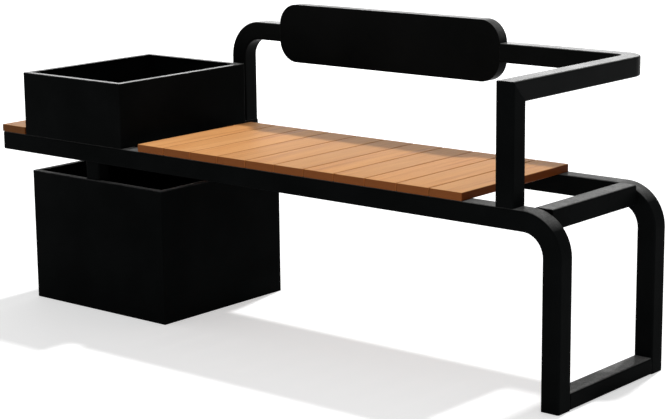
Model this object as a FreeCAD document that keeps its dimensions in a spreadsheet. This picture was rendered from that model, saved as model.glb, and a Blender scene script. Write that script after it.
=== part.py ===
import FreeCAD, Part
import Sketcher
import math
import os

# Street bench with two planters, in millimetres, +Z up, +Y towards the back.
# Every length is a named cell of the sheet Sizes; bodies and sketches are bound to those names.

doc = FreeCAD.newDocument("bench_with_planters")
sheet = doc.addObject("Spreadsheet::Sheet", "Sizes")

DRIVING_SIZES = [
    # welded tube
    ("tube", 50),
    ("tube_wall", 3),
    ("tube_corner", 5),
    ("bore_corner", 1),
    ("cap_thick", 3),
    # main frame: seat rails that bend down into the right legs
    ("frame_length", 1867),
    ("frame_depth", 454),
    ("rail_top", 460),
    ("bend_outer", 104),
    ("foot_height", 41),
    ("right_bar_inset", 54),
    ("left_bar_inset", 20),
    # backrest and arm frame
    ("arm_inset", 130),
    ("arm_top", 748),
    ("back_reach", 137),
    ("plan_corner_outer", 73),
    ("post_bend_outer", 102),
    ("back_post_gap", 44.5),
    ("post_rail_length", 84),
    # backrest panel
    ("panel_right_inset", 549),
    ("panel_height", 162),
    ("panel_lift", 2),
    ("panel_thick", 34),
    ("panel_corner", 60),
    # seat boards
    ("slat_gap", 2.5),
    ("slat_thick", 20),
    ("slat_edge", 2),
    ("seat_right_inset", 272),
    ("seat_back_step", 9),
    ("seat_left_gap", 62.5),
    ("end_slat_width", 94.5),
    ("end_slat_overhang", 4),
    # planters
    ("sheet_thick", 2),
    ("sheet_corner", 3),
    ("rim_width", 16),
    ("upper_box_length", 381.5),
    ("upper_box_overhang", 36),
    ("upper_box_height", 174.5),
    ("lower_box_inset", 116.5),
    ("lower_box_length", 504),
    ("lower_box_overhang", 12.5),
    ("lower_box_height", 362),
    ("box_post_place", 212),
    ("box_post_depth", 40),
    # clearance between the panel cover and its tray, and between the lower rim and its posts
    ("fit_clearance", 0.4),
]

SLAT_COUNT = 11

# name, formula
DERIVED_SIZES = [
    ("half_tube", "tube / 2"),
    ("back_depth", "frame_depth + back_reach"),
    ("overall_length", "frame_length + end_slat_overhang"),
    ("right_face", "overall_length / 2"),
    ("front_face", "-back_depth / 2"),
    ("back_rail_length", "panel_right_inset - arm_inset - plan_corner_outer"),
    ("cross_length", "frame_depth - 2 * tube"),
    ("upper_box_left", "frame_length + end_slat_overhang - end_slat_width - slat_gap"),
    ("upper_box_right", "upper_box_left - upper_box_length"),
    ("upper_box_depth", "frame_depth + upper_box_overhang"),
    ("lower_box_depth", "frame_depth + lower_box_overhang"),
    ("seat_length", "upper_box_right - seat_left_gap - seat_right_inset"),
    ("slat_pitch", "(seat_length + slat_gap) / %d" % SLAT_COUNT),
    ("middle_bar_place", "seat_right_inset + seat_length / 2 - half_tube"),
    ("slat_width", "slat_pitch - slat_gap"),
    ("slat_length", "frame_depth - seat_back_step"),
    ("back_post_inset", "upper_box_right + back_post_gap"),
    ("lower_box_left", "frame_length - lower_box_inset"),
    ("box_post_left", "lower_box_left - box_post_place"),
    ("panel_low", "arm_top - half_tube + panel_lift - panel_height / 2"),
    ("panel_left_inset", "back_post_inset + tube - post_bend_outer - post_rail_length"),
    ("panel_length", "panel_left_inset - panel_right_inset"),
    ("post_height", "arm_top - post_bend_outer - rail_top"),
    ("box_post_base", "sheet_thick"),
    ("box_post_height", "rail_top - tube - sheet_thick"),
    ("box_post_margin", "half_tube - box_post_depth / 2"),
    ("inner_corner", "panel_corner - sheet_thick"),
    ("spine_depth", "panel_thick - 2 * sheet_thick"),
]


def fill_sheet():
    row = 1
    for name, size in DRIVING_SIZES:
        sheet.set("A%d" % row, name)
        sheet.set("B%d" % row, str(size))
        sheet.setAlias("B%d" % row, name)
        row += 1
    for name, rule in DERIVED_SIZES:
        sheet.set("A%d" % row, name)
        sheet.set("B%d" % row, "=" + rule)
        sheet.setAlias("B%d" % row, name)
        row += 1
    doc.recompute()


def number(terms):
    """Value of a sum of sheet names and plain numbers, such as 'tube - tube_wall'."""
    total = 0.0
    sign = 1.0
    for word in terms.split():
        if word == "+":
            sign = 1.0
        elif word == "-":
            sign = -1.0
        else:
            size = float(word) if word[0].isdigit() else float(sheet.get(word))
            total += sign * size
            sign = 1.0
    return total


def formula(terms):
    """The same sum, written as an expression on the sheet."""
    words = []
    for word in terms.split():
        plain = word in ("+", "-") or word[0].isdigit()
        words.append(word if plain else "Sizes." + word)
    return " ".join(words)


def new_body(name):
    body = doc.addObject("PartDesign::Body", name)
    body.Label = name
    return body


def place(body, x, y, z):
    body.Placement.Base = FreeCAD.Vector(number(x), number(y), number(z))
    body.setExpression("Placement.Base.x", formula(x))
    body.setExpression("Placement.Base.y", formula(y))
    body.setExpression("Placement.Base.z", formula(z))


def new_sketch(body, plane_role, shift=("0", "0", "0")):
    sketch = body.newObject("Sketcher::SketchObject", body.Name + "_outline")
    for feature in body.Origin.OriginFeatures:
        if feature.Role == plane_role:
            sketch.AttachmentSupport = [(feature, "")]
    sketch.MapMode = "FlatFace"
    base = FreeCAD.Vector(number(shift[0]), number(shift[1]), number(shift[2]))
    sketch.AttachmentOffset = FreeCAD.Placement(base, FreeCAD.Rotation())
    for axis, terms in zip("xyz", shift):
        sketch.setExpression("AttachmentOffset.Base." + axis, formula(terms))
    return sketch


def bind(sketch, kind, geometry, point, terms):
    """Signed distance of a point from the sketch origin, bound to the sheet."""
    constraint = Sketcher.Constraint(kind, -1, 1, geometry, point, number(terms))
    index = sketch.addConstraint(constraint)
    sketch.setExpression("Constraints[%d]" % index, formula(terms))


def add_loop(sketch, left, right, low, high, corner):
    """Rounded rectangle held by its four sides and its corner radius."""
    x0, x1, y0, y1, r = (number(terms) for terms in (left, right, low, high, corner))
    point = FreeCAD.Vector
    lines = [
        Part.LineSegment(point(x0 + r, y0, 0), point(x1 - r, y0, 0)),
        Part.LineSegment(point(x1, y0 + r, 0), point(x1, y1 - r, 0)),
        Part.LineSegment(point(x1 - r, y1, 0), point(x0 + r, y1, 0)),
        Part.LineSegment(point(x0, y1 - r, 0), point(x0, y0 + r, 0)),
    ]
    centres = [point(x1 - r, y0 + r, 0), point(x1 - r, y1 - r, 0),
               point(x0 + r, y1 - r, 0), point(x0 + r, y0 + r, 0)]
    side = [sketch.addGeometry(line, False) for line in lines]
    arc = []
    for turn, centre in enumerate(centres):
        start = (turn - 1) * math.pi / 2
        stop = turn * math.pi / 2
        circle = Part.Circle(centre, point(0, 0, 1), r)
        arc.append(sketch.addGeometry(Part.ArcOfCircle(circle, start, stop), False))
    for turn in range(4):
        following = (turn + 1) % 4
        sketch.addConstraint(Sketcher.Constraint("Tangent", side[turn], 2, arc[turn], 1))
        sketch.addConstraint(Sketcher.Constraint("Tangent", arc[turn], 2, side[following], 1))
    for turn in (0, 2):
        sketch.addConstraint(Sketcher.Constraint("Horizontal", side[turn]))
        sketch.addConstraint(Sketcher.Constraint("Vertical", side[turn + 1]))
    for turn in (1, 2, 3):
        sketch.addConstraint(Sketcher.Constraint("Equal", arc[0], arc[turn]))
    index = sketch.addConstraint(Sketcher.Constraint("Radius", arc[0], r))
    sketch.setExpression("Constraints[%d]" % index, formula(corner))
    bind(sketch, "DistanceX", side[3], 1, left)
    bind(sketch, "DistanceX", side[1], 1, right)
    bind(sketch, "DistanceY", side[0], 1, low)
    bind(sketch, "DistanceY", side[2], 1, high)


def add_tube_section(sketch, left, right, low, high):
    """Square tube section: outer rounded outline and its bore."""
    add_loop(sketch, left, right, low, high, "tube_corner")
    add_loop(sketch, left + " + tube_wall", right + " - tube_wall",
             low + " + tube_wall", high + " - tube_wall", "bore_corner")


def add_triangle(sketch, corners):
    """Triangle held by the places of its corners."""
    point = FreeCAD.Vector
    places = [point(number(x), number(y), 0) for x, y in corners]
    side = []
    for turn in range(3):
        line = Part.LineSegment(places[turn], places[(turn + 1) % 3])
        side.append(sketch.addGeometry(line, False))
    for turn in range(3):
        following = (turn + 1) % 3
        sketch.addConstraint(Sketcher.Constraint("Coincident", side[turn], 2, side[following], 1))
    for turn in range(3):
        bind(sketch, "DistanceX", side[turn], 1, corners[turn][0])
        bind(sketch, "DistanceY", side[turn], 1, corners[turn][1])


def pad(body, sketch, length, backwards=False):
    feature = body.newObject("PartDesign::Pad", body.Name + "_pad")
    feature.Profile = sketch
    feature.Length = number(length)
    feature.setExpression("Length", formula(length))
    feature.Reversed = backwards
    body.Tip = feature
    return feature


def pocket(body, sketch, length, backwards=False):
    feature = body.newObject("PartDesign::Pocket", body.Name + "_pocket")
    feature.Profile = sketch
    feature.Length = number(length)
    feature.setExpression("Length", formula(length))
    feature.Reversed = backwards
    body.Tip = feature
    return feature


def quarter_turn(body, sketch, axis, backwards=False):
    feature = body.newObject("PartDesign::Revolution", body.Name + "_bend")
    feature.Profile = sketch
    feature.ReferenceAxis = (sketch, [axis])
    feature.Angle = 90
    feature.Reversed = backwards
    body.Tip = feature
    return feature


def main_frame(name, y):
    """Seat rail, its bend and the right leg: one bent tube."""
    body = new_body(name)
    end = new_sketch(body, "YZ_Plane", ("0", "rail_top - bend_outer", "0 - bend_outer"))
    add_tube_section(end, "0 - half_tube", "half_tube", "bend_outer - tube", "bend_outer")
    pad(body, end, "frame_length - bend_outer - cap_thick", backwards=True)
    quarter_turn(body, end, "H_Axis")
    leg = new_sketch(body, "XY_Plane")
    add_tube_section(leg, "0 - tube", "0", "0 - half_tube", "half_tube")
    pad(body, leg, "rail_top - bend_outer")
    place(body, "right_face", y, "0")


def rail_cap(name, y):
    """Plate welded on the left end of a seat rail."""
    body = new_body(name)
    plate = new_sketch(body, "YZ_Plane")
    add_loop(plate, "0 - half_tube", "half_tube", "0 - tube", "0", "tube_corner")
    pad(body, plate, "cap_thick")
    place(body, "right_face - frame_length", y, "rail_top")


def cross_bar(name, x, z, height="tube"):
    """Straight tube across the frame, between the inner faces of its two sides."""
    body = new_body(name)
    section = new_sketch(body, "XZ_Plane")
    add_tube_section(section, "0 - tube", "0", "0 - " + height, "0")
    pad(body, section, "cross_length", backwards=True)
    place(body, x, "front_face + tube", z)


def back_post_stub():
    """Short tube behind the rear rail that carries the back post."""
    body = new_body("back_post_stub")
    section = new_sketch(body, "XZ_Plane")
    add_tube_section(section, "0 - tube", "0", "0 - tube", "0")
    pad(body, section, "back_reach - cap_thick", backwards=True)
    plate = new_sketch(body, "XZ_Plane", ("0", "0", "0 - back_reach + cap_thick"))
    add_loop(plate, "0 - tube", "0", "0 - tube", "0", "tube_corner")
    pad(body, plate, "cap_thick", backwards=True)
    place(body, "right_face - back_post_inset", "front_face + frame_depth", "rail_top")


def back_post():
    """Left post, its bend and the short rail up to the backrest panel."""
    body = new_body("back_post")
    foot = new_sketch(body, "XY_Plane", ("0 - tube + post_bend_outer", "0", "0"))
    add_tube_section(foot, "0 - post_bend_outer", "tube - post_bend_outer",
                     "0 - half_tube", "half_tube")
    pad(body, foot, "post_height")
    end = new_sketch(body, "YZ_Plane", ("0", "post_height", "0 - tube + post_bend_outer"))
    add_tube_section(end, "0 - half_tube", "half_tube", "post_bend_outer - tube", "post_bend_outer")
    quarter_turn(body, end, "H_Axis", backwards=True)
    pad(body, end, "post_rail_length - cap_thick")
    plate = new_sketch(body, "YZ_Plane",
                       ("0", "post_height", "post_bend_outer + post_rail_length - tube - cap_thick"))
    add_loop(plate, "0 - half_tube", "half_tube", "post_bend_outer - tube", "post_bend_outer",
             "tube_corner")
    pad(body, plate, "cap_thick")
    place(body, "right_face - back_post_inset", "front_face + back_depth - half_tube", "rail_top")


def arm_post():
    """Front arm post, mitred at the top."""
    body = new_body("arm_post")
    foot = new_sketch(body, "XY_Plane")
    add_tube_section(foot, "0 - tube", "0", "0", "tube")
    pad(body, foot, "arm_top - rail_top")
    mitre = new_sketch(body, "YZ_Plane", ("0", "arm_top - rail_top", "tube_wall"))
    add_triangle(mitre, [("0", "0"), ("tube", "0 - tube"), ("tube", "0")])
    pocket(body, mitre, "tube + tube_wall + tube_wall")
    place(body, "right_face - arm_inset", "front_face", "rail_top")


def arm_rail():
    """Arm, plan corner and the right part of the top rail: one tube."""
    body = new_body("arm_rail")
    turn = new_sketch(body, "XZ_Plane",
                      ("0 - plan_corner_outer", "0", "0 - back_depth + plan_corner_outer"))
    add_tube_section(turn, "plan_corner_outer - tube", "plan_corner_outer", "0 - tube", "0")
    pad(body, turn, "back_depth - plan_corner_outer")
    quarter_turn(body, turn, "V_Axis")
    rail = new_sketch(body, "YZ_Plane", ("back_depth", "0", "0 - plan_corner_outer"))
    add_tube_section(rail, "0 - tube", "0", "0 - tube", "0")
    pad(body, rail, "back_rail_length - cap_thick", backwards=True)
    plate = new_sketch(body, "YZ_Plane",
                       ("back_depth", "0", "0 - plan_corner_outer - back_rail_length + cap_thick"))
    add_loop(plate, "0 - tube", "0", "0 - tube", "0", "tube_corner")
    pad(body, plate, "cap_thick", backwards=True)
    mitre = new_sketch(body, "YZ_Plane", ("0", "0", "tube_wall"))
    add_triangle(mitre, [("0", "0"), ("0", "0 - tube"), ("tube", "0 - tube")])
    pocket(body, mitre, "tube + tube_wall + tube_wall")
    place(body, "right_face - arm_inset", "front_face", "arm_top")


def panel_tray():
    """Front of the backrest panel with its rounded rim, open at the back."""
    body = new_body("backrest_tray")
    face = new_sketch(body, "XZ_Plane")
    add_loop(face, "0 - panel_length", "0", "0", "panel_height", "panel_corner")
    pad(body, face, "panel_thick", backwards=True)
    hollow = new_sketch(body, "XZ_Plane", ("0", "0", "0 - panel_thick"))
    add_loop(hollow, "sheet_thick - panel_length", "0 - sheet_thick",
             "sheet_thick", "panel_height - sheet_thick", "inner_corner")
    pocket(body, hollow, "panel_thick - sheet_thick", backwards=True)
    place(body, "right_face - panel_right_inset", "front_face + back_depth - tube", "panel_low")


def panel_cover():
    """Back plate that closes the tray."""
    body = new_body("backrest_cover")
    plate = new_sketch(body, "XZ_Plane")
    edge = "sheet_thick + fit_clearance"
    add_loop(plate, edge + " - panel_length", "0 - sheet_thick - fit_clearance",
             edge, "panel_height - sheet_thick - fit_clearance", "inner_corner - fit_clearance")
    pad(body, plate, "sheet_thick", backwards=True)
    place(body, "right_face - panel_right_inset",
          "front_face + back_depth - tube + panel_thick - sheet_thick", "panel_low")


def panel_spine():
    """Tube inside the panel, in line with the top rail."""
    body = new_body("backrest_spine")
    section = new_sketch(body, "YZ_Plane")
    add_tube_section(section, "0", "spine_depth", "0 - tube", "0")
    pad(body, section, "panel_length - sheet_thick - sheet_thick", backwards=True)
    place(body, "right_face - panel_right_inset - sheet_thick",
          "front_face + back_depth - tube + sheet_thick", "arm_top")


def slat(name, width, x_rule):
    """One board across the rails, with eased edges."""
    body = new_body(name)
    board = body.newObject("PartDesign::AdditiveBox", name + "_board")
    board.setExpression("Length", "Sizes." + width)
    board.setExpression("Width", "Sizes.slat_length")
    board.setExpression("Height", "Sizes.slat_thick")
    body.Tip = board
    doc.recompute()
    ease = body.newObject("PartDesign::Fillet", name + "_ease")
    ease.Base = (board, ["Edge%d" % (edge + 1) for edge in range(len(board.Shape.Edges))])
    ease.setExpression("Radius", "Sizes.slat_edge")
    body.Tip = ease
    body.setExpression("Placement.Base.x", x_rule)
    body.setExpression("Placement.Base.y", "Sizes.front_face")
    body.setExpression("Placement.Base.z", "Sizes.rail_top")


def seat_slats():
    for index in range(SLAT_COUNT):
        from_right = index + 1
        rule = ("Sizes.right_face - Sizes.seat_right_inset + Sizes.slat_gap - %d * Sizes.slat_pitch"
                % from_right)
        slat("seat_slat_%02d" % from_right, "slat_width", rule)
    slat("end_slat", "end_slat_width",
         "Sizes.right_face - Sizes.frame_length - Sizes.end_slat_overhang")


def planter_box(name, length, depth, height, x, z):
    """Folded and welded sheet box, open at the top, less the rim thickness."""
    body = new_body(name)
    outline = new_sketch(body, "XY_Plane")
    add_loop(outline, "0", length, "0", depth, "sheet_corner")
    pad(body, outline, height + " - sheet_thick")
    hollow = new_sketch(body, "XY_Plane", ("0", "0", height + " - sheet_thick"))
    add_loop(hollow, "sheet_thick", length + " - sheet_thick", "sheet_thick",
             depth + " - sheet_thick", "bore_corner")
    pocket(body, hollow, height + " - sheet_thick - sheet_thick")
    place(body, x, "front_face", z)


def planter_rim(name, length, depth, x, z):
    """Inward flange around the top of a planter."""
    body = new_body(name)
    ring = new_sketch(body, "XY_Plane")
    add_loop(ring, "0", length, "0", depth, "sheet_corner")
    add_loop(ring, "rim_width", length + " - rim_width", "rim_width",
             depth + " - rim_width", "bore_corner")
    pad(body, ring, "sheet_thick")
    place(body, x, "front_face", z)
    return body


def lower_rim():
    """Rim of the lower planter, notched around its two posts."""
    body = planter_rim("lower_planter_rim", "lower_box_length", "lower_box_depth",
                       "right_face - lower_box_left", "lower_box_height - sheet_thick")
    left = "lower_box_left - box_post_left - fit_clearance"
    right = "lower_box_left - box_post_left + tube + fit_clearance"
    front = "box_post_margin - fit_clearance"
    rear = "frame_depth - box_post_margin + fit_clearance"
    notches = new_sketch(body, "XY_Plane", ("0", "0", "sheet_thick"))
    add_loop(notches, left, right, front, "rim_width + tube_wall", "bore_corner")
    add_loop(notches, left, right, rear + " - box_post_depth - fit_clearance - fit_clearance",
             rear, "bore_corner")
    pocket(body, notches, "sheet_thick")


def box_post(name, y):
    """Post from the lower planter floor up to a seat rail."""
    body = new_body(name)
    foot = new_sketch(body, "XY_Plane")
    add_tube_section(foot, "0", "tube", "0", "box_post_depth")
    pad(body, foot, "box_post_height")
    place(body, "right_face - box_post_left", y, "box_post_base")


def build():
    fill_sheet()
    main_frame("front_frame", "front_face + half_tube")
    main_frame("rear_frame", "front_face + frame_depth - half_tube")
    rail_cap("front_rail_cap", "front_face + half_tube")
    rail_cap("rear_rail_cap", "front_face + frame_depth - half_tube")
    cross_bar("right_cross_bar", "right_face - right_bar_inset", "rail_top")
    cross_bar("middle_cross_bar", "right_face - middle_bar_place", "rail_top")
    cross_bar("planter_cross_bar", "right_face - back_post_inset", "rail_top")
    cross_bar("left_cross_bar", "right_face - frame_length + left_bar_inset + tube", "rail_top")
    cross_bar("foot_cross_bar", "right_face", "foot_height", "foot_height")
    back_post_stub()
    back_post()
    arm_post()
    arm_rail()
    panel_tray()
    panel_cover()
    panel_spine()
    seat_slats()
    planter_box("upper_planter_box", "upper_box_length", "upper_box_depth", "upper_box_height",
                "right_face - upper_box_left", "rail_top")
    planter_rim("upper_planter_rim", "upper_box_length", "upper_box_depth",
                "right_face - upper_box_left", "rail_top + upper_box_height - sheet_thick")
    planter_box("lower_planter_box", "lower_box_length", "lower_box_depth", "lower_box_height",
                "right_face - lower_box_left", "0")
    lower_rim()
    box_post("front_box_post", "front_face + box_post_margin")
    box_post("rear_box_post", "front_face + frame_depth - box_post_margin - box_post_depth")
    doc.recompute()


def export():
    os.makedirs("parts", exist_ok=True)
    for item in doc.Objects:
        wrong = [state for state in item.State if state in ("Invalid", "Error")]
        if wrong:
            raise RuntimeError("%s is %s" % (item.Label, wrong))
    bodies = [item for item in doc.Objects if item.TypeId == "PartDesign::Body"]
    for body in bodies:
        shape = body.Shape
        if shape.isNull() or not shape.isValid():
            raise RuntimeError("%s has no valid shape" % body.Label)
    for body in bodies:
        body.Shape.exportStep("parts/%s.step" % body.Label)
        box = body.Shape.BoundBox
        print("%-20s solids %d  volume %.0f  x %.1f..%.1f  y %.1f..%.1f  z %.1f..%.1f" % (
            body.Label, len(body.Shape.Solids), body.Shape.Volume,
            box.XMin, box.XMax, box.YMin, box.YMax, box.ZMin, box.ZMax))


build()
export()
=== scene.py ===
import math

import bpy
from mathutils import Matrix, Vector

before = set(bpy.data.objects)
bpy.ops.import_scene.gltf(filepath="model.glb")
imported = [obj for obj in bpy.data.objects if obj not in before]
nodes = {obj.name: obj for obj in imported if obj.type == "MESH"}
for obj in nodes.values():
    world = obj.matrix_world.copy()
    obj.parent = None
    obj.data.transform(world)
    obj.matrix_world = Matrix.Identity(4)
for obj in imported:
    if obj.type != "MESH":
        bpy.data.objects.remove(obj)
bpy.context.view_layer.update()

# Camera, fitted to the photograph: picture in pixels, sensor in millimetres, places in metres

PHOTO_WIDTH = 667.0
FOCAL_PIXELS = 1921.5
SENSOR_WIDTH = 36.0
FAR_CLIP = 200.0
CAMERA_PLACE = Vector((3.2156, -3.7833, 1.3686))
CAMERA_AIM = Vector((-0.62973, 0.74800, -0.20961))
CAMERA_ROLL = math.radians(-0.620)
WORLD_UP = Vector((0.0, 0.0, 1.0))


def make_camera():
    lens = bpy.data.cameras.new("photo_camera")
    lens.sensor_fit = "HORIZONTAL"
    lens.sensor_width = SENSOR_WIDTH
    lens.lens = FOCAL_PIXELS * SENSOR_WIDTH / PHOTO_WIDTH
    lens.clip_end = FAR_CLIP
    camera = bpy.data.objects.new("photo_camera", lens)
    bpy.context.scene.collection.objects.link(camera)
    forward = CAMERA_AIM.normalized()
    level_right = forward.cross(WORLD_UP).normalized()
    level_up = level_right.cross(forward)
    right = level_right * math.cos(CAMERA_ROLL) + level_up * math.sin(CAMERA_ROLL)
    up = right.cross(forward)
    turn = Matrix((right, up, -forward)).transposed()
    camera.matrix_world = Matrix.Translation(CAMERA_PLACE) @ turn.to_4x4()
    bpy.context.scene.camera = camera


# Small helpers for node materials

X_AXIS = 0
Z_AXIS = 2
FACES_HALF = 0.50
FACES_FULLY = 0.95
EDGE_SAMPLES = 6


class Shading:
    """One material with its shader, and short ways to add nodes to it."""

    def __init__(self, name):
        self.material = bpy.data.materials.new(name)
        self.material.use_nodes = True
        self.tree = self.material.node_tree
        self.tree.nodes.clear()
        self.output = self.tree.nodes.new("ShaderNodeOutputMaterial")
        self.shader = self.tree.nodes.new("ShaderNodeBsdfPrincipled")
        self.link(self.shader.outputs["BSDF"], self.output.inputs["Surface"])

    def link(self, source, target):
        self.tree.links.new(source, target)

    def place(self, stretch=(1.0, 1.0, 1.0), offset=(0.0, 0.0, 0.0), turn=(0.0, 0.0, 0.0)):
        """Places on the object in metres, stretched, moved and turned for a texture."""
        coordinates = self.tree.nodes.new("ShaderNodeTexCoord")
        mapping = self.tree.nodes.new("ShaderNodeMapping")
        mapping.inputs["Location"].default_value = offset
        mapping.inputs["Rotation"].default_value = turn
        mapping.inputs["Scale"].default_value = stretch
        self.link(coordinates.outputs["Object"], mapping.inputs["Vector"])
        return mapping.outputs["Vector"]

    def noise(self, vector, scale, detail=3.0, roughness=0.55, distortion=0.0):
        """Soft random values round a half, finer with a larger scale."""
        node = self.tree.nodes.new("ShaderNodeTexNoise")
        node.inputs["Scale"].default_value = scale
        node.inputs["Detail"].default_value = detail
        node.inputs["Roughness"].default_value = roughness
        node.inputs["Distortion"].default_value = distortion
        self.link(vector, node.inputs["Vector"])
        return node.outputs["Fac"]

    def spread(self, value, low, high, to_low=0.0, to_high=1.0):
        """Takes the range low..high to to_low..to_high, and stops at its ends."""
        node = self.tree.nodes.new("ShaderNodeMapRange")
        node.inputs["From Min"].default_value = low
        node.inputs["From Max"].default_value = high
        node.inputs["To Min"].default_value = to_low
        node.inputs["To Max"].default_value = to_high
        self.link(value, node.inputs["Value"])
        return node.outputs["Result"]

    def calculate(self, operation, first, second=0.0):
        """One sum on two values, each a number or another node's result."""
        node = self.tree.nodes.new("ShaderNodeMath")
        node.operation = operation
        for socket, value in zip(node.inputs, (first, second)):
            if isinstance(value, float):
                socket.default_value = value
            else:
                self.link(value, socket)
        return node.outputs["Value"]

    def ramp(self, value, stops):
        """A colour for each value: stops are pairs of a place and a linear colour."""
        node = self.tree.nodes.new("ShaderNodeValToRGB")
        elements = node.color_ramp.elements
        while len(elements) < len(stops):
            elements.new(position=0.5)
        for element, (place, colour) in zip(elements, stops):
            element.position = place
            element.color = (*colour, 1.0)
        self.link(value, node.inputs["Fac"])
        return node.outputs["Color"]

    def mix(self, share, first, second):
        """From the first colour to the second, by a share that another node gives."""
        node = self.tree.nodes.new("ShaderNodeMix")
        node.data_type = "RGBA"
        sockets = {socket.identifier: socket for socket in node.inputs}
        for key, value in (("Factor_Float", share), ("A_Color", first), ("B_Color", second)):
            if isinstance(value, tuple):
                sockets[key].default_value = (*value, 1.0)
            else:
                self.link(value, sockets[key])
        results = {socket.identifier: socket for socket in node.outputs}
        return results["Result_Color"]

    def normal_part(self, axis):
        """How much of the surface's direction lies along an axis, from -1 to 1."""
        geometry = self.tree.nodes.new("ShaderNodeNewGeometry")
        parts = self.tree.nodes.new("ShaderNodeSeparateXYZ")
        self.link(geometry.outputs["Normal"], parts.inputs["Vector"])
        return parts.outputs[axis]

    def facing_up(self, low=FACES_HALF):
        """One on surfaces that face the sky, none on the sides."""
        return self.spread(self.normal_part(Z_AXIS), low, FACES_FULLY)

    def facing_along(self, axis):
        """One on surfaces that face either way along an axis."""
        share = self.calculate("ABSOLUTE", self.normal_part(axis))
        return self.spread(share, FACES_HALF, FACES_FULLY)

    def soft_edges(self, radius):
        """The surface's direction, rounded over at sharp edges."""
        node = self.tree.nodes.new("ShaderNodeBevel")
        node.samples = EDGE_SAMPLES
        node.inputs["Radius"].default_value = radius
        return node.outputs["Normal"]

    def edge_share(self, rounded, low, high):
        """One along edges, from how far the rounded direction turns from the plain one."""
        geometry = self.tree.nodes.new("ShaderNodeNewGeometry")
        node = self.tree.nodes.new("ShaderNodeVectorMath")
        node.operation = "DOT_PRODUCT"
        self.link(geometry.outputs["Normal"], node.inputs[0])
        self.link(rounded, node.inputs[1])
        return self.spread(node.outputs["Value"], high, low)

    def bump(self, height, distance, strength, normal=None):
        """Fine relief, on top of the rounded edges where they are given."""
        node = self.tree.nodes.new("ShaderNodeBump")
        node.inputs["Strength"].default_value = strength
        node.inputs["Distance"].default_value = distance
        self.link(height, node.inputs["Height"])
        if normal is not None:
            self.link(normal, node.inputs["Normal"])
        return node.outputs["Normal"]

    def finish(self, colour, roughness, normal, specular):
        self.link(colour, self.shader.inputs["Base Color"])
        self.link(roughness, self.shader.inputs["Roughness"])
        self.link(normal, self.shader.inputs["Normal"])
        self.shader.inputs["Specular IOR Level"].default_value = specular
        return self.material


# Powder coat: linear colours, noise scales in waves per metre, heights and radii in metres

BLACK = (0.0042, 0.0047, 0.0048)
DEEP_BLACK = (0.0026, 0.0030, 0.0030)
# The dust colour is partly real dust and partly a painted sheen that lightens the tops
DUST_AND_SHEEN = (0.220, 0.220, 0.216)
# Edge colours: rubbed edges, lightened further as a painted highlight line
WORN_EDGE_AND_HIGHLIGHT = (0.020, 0.0205, 0.021)
BARE_EDGE_AND_HIGHLIGHT = (0.090, 0.090, 0.092)

PATCH_SCALE = 5.0
GRIME_SCALE = 38.0
SPECKLE_SCALE = 260.0
PEEL_SCALE = 420.0
PEEL_HEIGHT = 0.0005
PEEL_STRENGTH = 0.16
EDGE_RADIUS = 0.0022
SMOOTHER_PATCH = 0.04
ROUGHER_PATCH = 0.05

# Dust and a painted sheen start where this much of a face's direction points up; the start from
# the side spreads the painted sheen down the backrest's rounded rim

DUST_AND_SHEEN_FROM_SLOPE = 0.62
DUST_AND_SHEEN_FROM_SIDE = 0.05


def dust_and_sheen_mask(shading, place, grime, dust_and_sheen_share, dust_and_sheen_from):
    """Dust where rain dries, and a painted sheen: on faces that look up, in spots broken up by a
    fine speckle.
    """
    speckle = shading.noise(place, SPECKLE_SCALE, detail=2.0)
    dry_spots = shading.spread(grime, low=0.42, high=0.72, to_low=0.55, to_high=0.85)
    speckle = shading.spread(speckle, low=0.35, high=0.65, to_low=0.75, to_high=1.15)
    dry_spots = shading.calculate("MULTIPLY", dry_spots, speckle)
    dusty_and_sheen = shading.calculate("MULTIPLY", shading.facing_up(dust_and_sheen_from), dry_spots)
    return shading.calculate("MULTIPLY", dusty_and_sheen, dust_and_sheen_share)


def rub_and_highlight_mask(shading, rounded, grime):
    """Sharp edges that are rubbed and lightened further as a painted highlight line, more in
    some spots than in others.
    """
    edges = shading.edge_share(rounded, low=0.90, high=0.995)
    spots = shading.spread(grime, low=0.40, high=0.70, to_low=0.15, to_high=0.60)
    return shading.calculate("MULTIPLY", edges, spots)


def powder_coat(name, offset, dust_and_sheen_share, roughness, specular,
                edge_and_highlight=WORN_EDGE_AND_HIGHLIGHT, dust_and_sheen_from=DUST_AND_SHEEN_FROM_SLOPE):
    """Black satin powder coat: faint patches, orange peel, dust and a painted sheen on top, and
    rubbed edges with a painted highlight line.
    """
    shading = Shading(name)
    place = shading.place(offset=offset)
    patches = shading.noise(place, PATCH_SCALE, detail=4.0)
    grime = shading.noise(place, GRIME_SCALE, detail=6.0, roughness=0.65)
    peel = shading.noise(place, PEEL_SCALE, detail=3.0, roughness=0.6)
    rounded = shading.soft_edges(EDGE_RADIUS)
    coat = shading.mix(shading.spread(patches, low=0.35, high=0.65), DEEP_BLACK, BLACK)
    # Dust and a painted sheen lighten the faces that look up
    coat = shading.mix(dust_and_sheen_mask(shading, place, grime, dust_and_sheen_share, dust_and_sheen_from), coat, DUST_AND_SHEEN)
    # Rubbed edges with a painted highlight line
    colour = shading.mix(rub_and_highlight_mask(shading, rounded, grime), coat, edge_and_highlight)
    gloss = shading.spread(patches, low=0.30, high=0.70,
                           to_low=roughness - SMOOTHER_PATCH, to_high=roughness + ROUGHER_PATCH)
    normal = shading.bump(peel, PEEL_HEIGHT, PEEL_STRENGTH, rounded)
    return shading.finish(colour, gloss, normal, specular)


# Wood: linear colours, and stretches in waves per metre along X, Y and Z, with the grain along Y

WOOD_LIGHT = (0.68, 0.340, 0.132)
WOOD_MIDDLE = (0.61, 0.285, 0.100)
WOOD_DARK = (0.47, 0.185, 0.056)
WOOD_PORE = (0.24, 0.090, 0.032)
WOOD_WEATHERED = (0.69, 0.42, 0.21)
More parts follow.
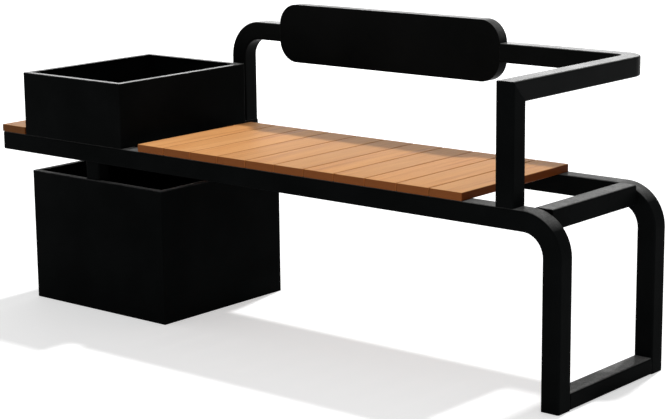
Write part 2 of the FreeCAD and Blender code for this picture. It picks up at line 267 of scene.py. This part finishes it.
# Upright faces: darker end grain and long edges, darkened further as painted shade; the shady
# colours are painted shade for faces that lie in shade
END_GRAIN_AND_SHADE_COLOUR = (0.206, 0.062, 0.0165)
SHADY_END_COLOUR = (0.120, 0.043, 0.012)
LONG_EDGE_AND_SHADE_COLOUR = (0.445, 0.162, 0.045)
SHADY_LONG_EDGE_COLOUR = (0.110, 0.022, 0.0025)

RING_STRETCH = (34.0, 1.6, 34.0)
FIBRE_STRETCH = (520.0, 11.0, 520.0)
PORE_STRETCH = (1400.0, 42.0, 1400.0)
BLOTCH_STRETCH = (5.0, 2.2, 5.0)
SEED_MOVE = (0.731, 1.137, 0.419)
SEED_LEAN = 2.3
MOST_LEAN = math.radians(0.9)

FIBRE_RELIEF = 0.6
RING_RELIEF = 0.4
WOOD_RELIEF_HEIGHT = 0.0006
WOOD_RELIEF_STRENGTH = 0.25
EDGE_AND_SHADE_SHARE = 0.97
WOOD_SPECULAR = 0.03


def scaled(values, factor):
    return tuple(value * factor for value in values)


def board_top(shading, rings, fibres, pores, tone_light_and_shade):
    """Growth rings from dark to light and back, with darker fibres and open pores."""
    # The factor scales the grain colours, with the painted light and shade that some boards
    # carry
    light = scaled(WOOD_LIGHT, tone_light_and_shade)
    middle = scaled(WOOD_MIDDLE, tone_light_and_shade)
    dark = scaled(WOOD_DARK, tone_light_and_shade)
    grain = shading.ramp(rings, [(0.30, dark), (0.44, middle), (0.60, light), (0.78, middle)])
    fibre_share = shading.spread(fibres, low=0.30, high=0.70, to_low=0.30, to_high=0.0)
    colour = shading.mix(fibre_share, grain, dark)
    pore_share = shading.spread(pores, low=0.58, high=0.72, to_low=0.0, to_high=0.30)
    return shading.mix(pore_share, colour, WOOD_PORE)


def weather(shading, colour, blotches):
    """Pale blotches on the face that looks up."""
    spots = shading.spread(blotches, low=0.30, high=0.75, to_low=0.0, to_high=0.20)
    share = shading.calculate("MULTIPLY", shading.facing_up(), spots)
    return shading.mix(share, colour, WOOD_WEATHERED)


def colour_sides_and_shade(shading, colour, end_and_shade_colour, long_edge_and_shade_colour):
    """The board's ends and long edges each get their own colour, darker grain with painted shade
    on these upright faces, and its top keeps its own.
    """
    # Ends and long edges get darker colours that hold painted shade
    sides = shading.mix(shading.facing_along(X_AXIS), end_and_shade_colour, long_edge_and_shade_colour)
    share = shading.spread(shading.facing_up(), low=0.0, high=1.0,
                           to_low=EDGE_AND_SHADE_SHARE, to_high=0.0)
    return shading.mix(share, colour, sides)


def board_wood(name, seed, tone_light_and_shade, end_and_shade_colour=END_GRAIN_AND_SHADE_COLOUR, long_edge_and_shade_colour=LONG_EDGE_AND_SHADE_COLOUR):
    """Oiled outdoor board: seed moves and leans the grain, and a factor makes it lighter or
    darker, for random differences between boards and as painted light and shade.
    """
    shading = Shading(name)
    offset = scaled(SEED_MOVE, seed)
    lean = (0.0, 0.0, MOST_LEAN * math.sin(seed * SEED_LEAN))
    rings = shading.noise(shading.place(RING_STRETCH, offset, lean), scale=1.0,
                          detail=5.0, roughness=0.58, distortion=0.7)
    fibres = shading.noise(shading.place(FIBRE_STRETCH, offset, lean), scale=1.0,
                           detail=4.0, roughness=0.65)
    pores = shading.noise(shading.place(PORE_STRETCH, offset, lean), scale=1.0, detail=2.0)
    blotches = shading.noise(shading.place(BLOTCH_STRETCH, offset), scale=1.0, detail=3.0)
    colour = board_top(shading, rings, fibres, pores, tone_light_and_shade)
    colour = weather(shading, colour, blotches)
    colour = colour_sides_and_shade(shading, colour, end_and_shade_colour, long_edge_and_shade_colour)
    gloss = shading.spread(rings, low=0.30, high=0.75, to_low=0.46, to_high=0.60)
    relief = shading.calculate("ADD", shading.calculate("MULTIPLY", fibres, FIBRE_RELIEF),
                               shading.calculate("MULTIPLY", rings, RING_RELIEF))
    normal = shading.bump(relief, WOOD_RELIEF_HEIGHT, WOOD_RELIEF_STRENGTH)
    return shading.finish(colour, gloss, normal, WOOD_SPECULAR)


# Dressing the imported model: each offset gives a coat its own patches

SMOOTH_BELOW = math.radians(25.0)

FRAME_TUBES = ["front_frame", "rear_frame", "front_rail_cap", "rear_rail_cap",
               "right_cross_bar", "middle_cross_bar", "planter_cross_bar", "left_cross_bar",
               "foot_cross_bar", "front_box_post", "rear_box_post"]
BACK_TUBES = ["back_post_stub", "back_post", "arm_rail", "backrest_spine"]
BACKREST_PLATES = ["backrest_tray", "backrest_cover"]

# Tones of the seat boards, counted from the right, and of the end board: random differences,
# with painted light that lightens the boards towards the left end and painted shadow that
# darkens the end board

BOARD_TONES_AND_LIGHT = [0.96, 1.00, 1.05, 0.98, 1.04, 0.96, 1.03, 1.06, 1.18, 1.22, 1.30]
END_BOARD_SHADOW_TONE = 0.64
END_BOARD_SEED = 17.0


def smooth_bends():
    """Smooth shading round the bends and corner roundings, sharp at the true edges."""
    for node in nodes.values():
        node.data.shade_smooth()
        node.data.set_sharp_from_angle(angle=SMOOTH_BELOW)


def paint(names, material):
    for name in names:
        for slot in nodes[name].material_slots:
            slot.material = material


def dress_frame():
    paint(FRAME_TUBES,
          powder_coat("black_tube_coat", offset=(0.0, 0.0, 0.0),
                      dust_and_sheen_share=0.95, roughness=0.26, specular=0.003))


def dress_back_and_arm():
    paint(BACK_TUBES,
          powder_coat("black_arm_coat", offset=(3.1, 1.7, 0.4),
                      dust_and_sheen_share=0.95, roughness=0.24, specular=0.012))
    paint(["arm_post"],
          powder_coat("black_arm_post_coat", offset=(5.2, 3.3, 1.9),
                      dust_and_sheen_share=0.85, roughness=0.26, specular=0.004))


def dress_backrest():
    paint(BACKREST_PLATES,
          powder_coat("black_panel_coat", offset=(1.3, 4.9, 2.2),
                      dust_and_sheen_share=0.75, roughness=0.28, specular=0.009, dust_and_sheen_from=DUST_AND_SHEEN_FROM_SIDE))


def dress_upper_planter():
    paint(["upper_planter_box"],
          powder_coat("black_upper_planter_coat", offset=(7.7, 0.8, 5.1),
                      dust_and_sheen_share=0.12, roughness=0.26, specular=0.004))
    paint(["upper_planter_rim"],
          powder_coat("black_upper_rim_coat", offset=(6.1, 2.8, 3.7),
                      dust_and_sheen_share=1.00, roughness=0.26, specular=0.010, edge_and_highlight=BARE_EDGE_AND_HIGHLIGHT))


def dress_lower_planter():
    paint(["lower_planter_box"],
          powder_coat("black_lower_planter_coat", offset=(2.9, 6.3, 1.6),
                      dust_and_sheen_share=0.15, roughness=0.32, specular=0.003))
    paint(["lower_planter_rim"],
          powder_coat("black_lower_rim_coat", offset=(4.4, 0.3, 8.2),
                      dust_and_sheen_share=0.60, roughness=0.50, specular=0.008, edge_and_highlight=BARE_EDGE_AND_HIGHLIGHT))


def dress_seat():
    """Only the first board, at the right, shows its long edge, and that lies in shade."""
    for number, tone_light_and_shade in enumerate(BOARD_TONES_AND_LIGHT, start=1):
        name = "seat_slat_%02d" % number
        # The first board's long edge gets the painted shade colour
        long_edge_and_shade = SHADY_LONG_EDGE_COLOUR if number == 1 else LONG_EDGE_AND_SHADE_COLOUR
        paint([name], board_wood("wood_" + name, seed=float(number), tone_light_and_shade=tone_light_and_shade,
                                 long_edge_and_shade_colour=long_edge_and_shade))


def dress_end_board():
    # The end board is darkened as painted shadow, with painted shade on its ends and edges
    paint(["end_slat"],
          board_wood("wood_end_slat", seed=END_BOARD_SEED, tone_light_and_shade=END_BOARD_SHADOW_TONE,
                     end_and_shade_colour=SHADY_END_COLOUR, long_edge_and_shade_colour=SHADY_LONG_EDGE_COLOUR))


# Floor and background: both look white to the camera, and light the bench less than they show

FLOOR_HALF = 40.0
FLOOR_DROP = 0.0005
FLOOR_COLOUR = (0.90, 0.90, 0.90, 1.0)
FLOOR_LIFT = 0.45
SKY_COLOUR = (1.0, 1.0, 1.0, 1.0)
SKY_LIGHT = 0.42
SKY_SEEN = 1.0


def seen_rays(tree):
    """One for rays that show the background: from the camera, from gloss and through glass."""
    path = tree.nodes.new("ShaderNodeLightPath")
    share = path.outputs["Is Camera Ray"]
    for name in ("Is Glossy Ray", "Is Transmission Ray"):
        node = tree.nodes.new("ShaderNodeMath")
        node.operation = "MAXIMUM"
        tree.links.new(share, node.inputs[0])
        tree.links.new(path.outputs[name], node.inputs[1])
        share = node.outputs["Value"]
    return share


def floor_material():
    """Plain pale floor that glows a little where it is seen, so that it meets the white sky."""
    material = bpy.data.materials.new("pale_floor")
    material.use_nodes = True
    tree = material.node_tree
    tree.nodes.clear()
    output = tree.nodes.new("ShaderNodeOutputMaterial")
    plain = tree.nodes.new("ShaderNodeBsdfDiffuse")
    plain.inputs["Color"].default_value = FLOOR_COLOUR
    glow = tree.nodes.new("ShaderNodeEmission")
    both = tree.nodes.new("ShaderNodeAddShader")
    strength = tree.nodes.new("ShaderNodeMath")
    strength.operation = "MULTIPLY"
    strength.inputs[1].default_value = FLOOR_LIFT
    tree.links.new(seen_rays(tree), strength.inputs[0])
    tree.links.new(strength.outputs["Value"], glow.inputs["Strength"])
    tree.links.new(plain.outputs["BSDF"], both.inputs[0])
    tree.links.new(glow.outputs["Emission"], both.inputs[1])
    tree.links.new(both.outputs["Shader"], output.inputs["Surface"])
    return material


def make_floor():
    mesh = bpy.data.meshes.new("floor")
    corners = [(-FLOOR_HALF, -FLOOR_HALF, 0.0), (FLOOR_HALF, -FLOOR_HALF, 0.0),
               (FLOOR_HALF, FLOOR_HALF, 0.0), (-FLOOR_HALF, FLOOR_HALF, 0.0)]
    mesh.from_pydata(corners, [], [(0, 1, 2, 3)])
    mesh.materials.append(floor_material())
    floor = bpy.data.objects.new("floor", mesh)
    floor.location.z = -FLOOR_DROP
    bpy.context.scene.collection.objects.link(floor)


def make_world():
    world = bpy.data.worlds.new("studio")
    world.use_nodes = True
    tree = world.node_tree
    tree.nodes.clear()
    output = tree.nodes.new("ShaderNodeOutputWorld")
    background = tree.nodes.new("ShaderNodeBackground")
    background.inputs["Color"].default_value = SKY_COLOUR
    level = tree.nodes.new("ShaderNodeMapRange")
    level.inputs["To Min"].default_value = SKY_LIGHT
    level.inputs["To Max"].default_value = SKY_SEEN
    tree.links.new(seen_rays(tree), level.inputs["Value"])
    tree.links.new(level.outputs["Result"], background.inputs["Strength"])
    tree.links.new(background.outputs["Background"], output.inputs["Surface"])
    bpy.context.scene.world = world


# Lights: places and sizes in metres

KEY_TRAVEL = Vector((0.12, -0.60, -1.0))
KEY_LEVEL = 2.1
KEY_SOFTNESS = math.radians(4.0)


def turned_to(travel):
    """The turn that sends a lamp's light along a direction."""
    return travel.to_track_quat("-Z", "Y").to_euler()


def key_light():
    """High key light from behind, which lays the backrest's shadow on the back of the seat."""
    lamp = bpy.data.lights.new("key", "SUN")
    lamp.energy = KEY_LEVEL
    lamp.angle = KEY_SOFTNESS
    light = bpy.data.objects.new("key", lamp)
    light.rotation_euler = turned_to(KEY_TRAVEL)
    bpy.context.scene.collection.objects.link(light)


def soft_light(name, place, aim, width, height, watts):
    lamp = bpy.data.lights.new(name, "AREA")
    lamp.shape = "RECTANGLE"
    lamp.size = width
    lamp.size_y = height
    lamp.energy = watts
    light = bpy.data.objects.new(name, lamp)
    light.location = place
    light.rotation_euler = turned_to(Vector(aim) - Vector(place))
    light.visible_camera = False
    bpy.context.scene.collection.objects.link(light)


def make_lights():
    key_light()
    soft_light("back_strip", place=(-4.2, 5.2, 1.6), aim=(0.0, 0.0, 0.5),
               width=6.0, height=2.0, watts=100.0)
    soft_light("fill", place=(3.0, -5.0, 3.2), aim=(0.0, 0.0, 0.4),
               width=3.0, height=2.5, watts=20.0)


bpy.context.scene.view_settings.view_transform = "Standard"
smooth_bends()
dress_frame()
dress_back_and_arm()
dress_backrest()
dress_upper_planter()
dress_lower_planter()
dress_seat()
dress_end_board()
make_floor()
make_world()
make_lights()
make_camera()
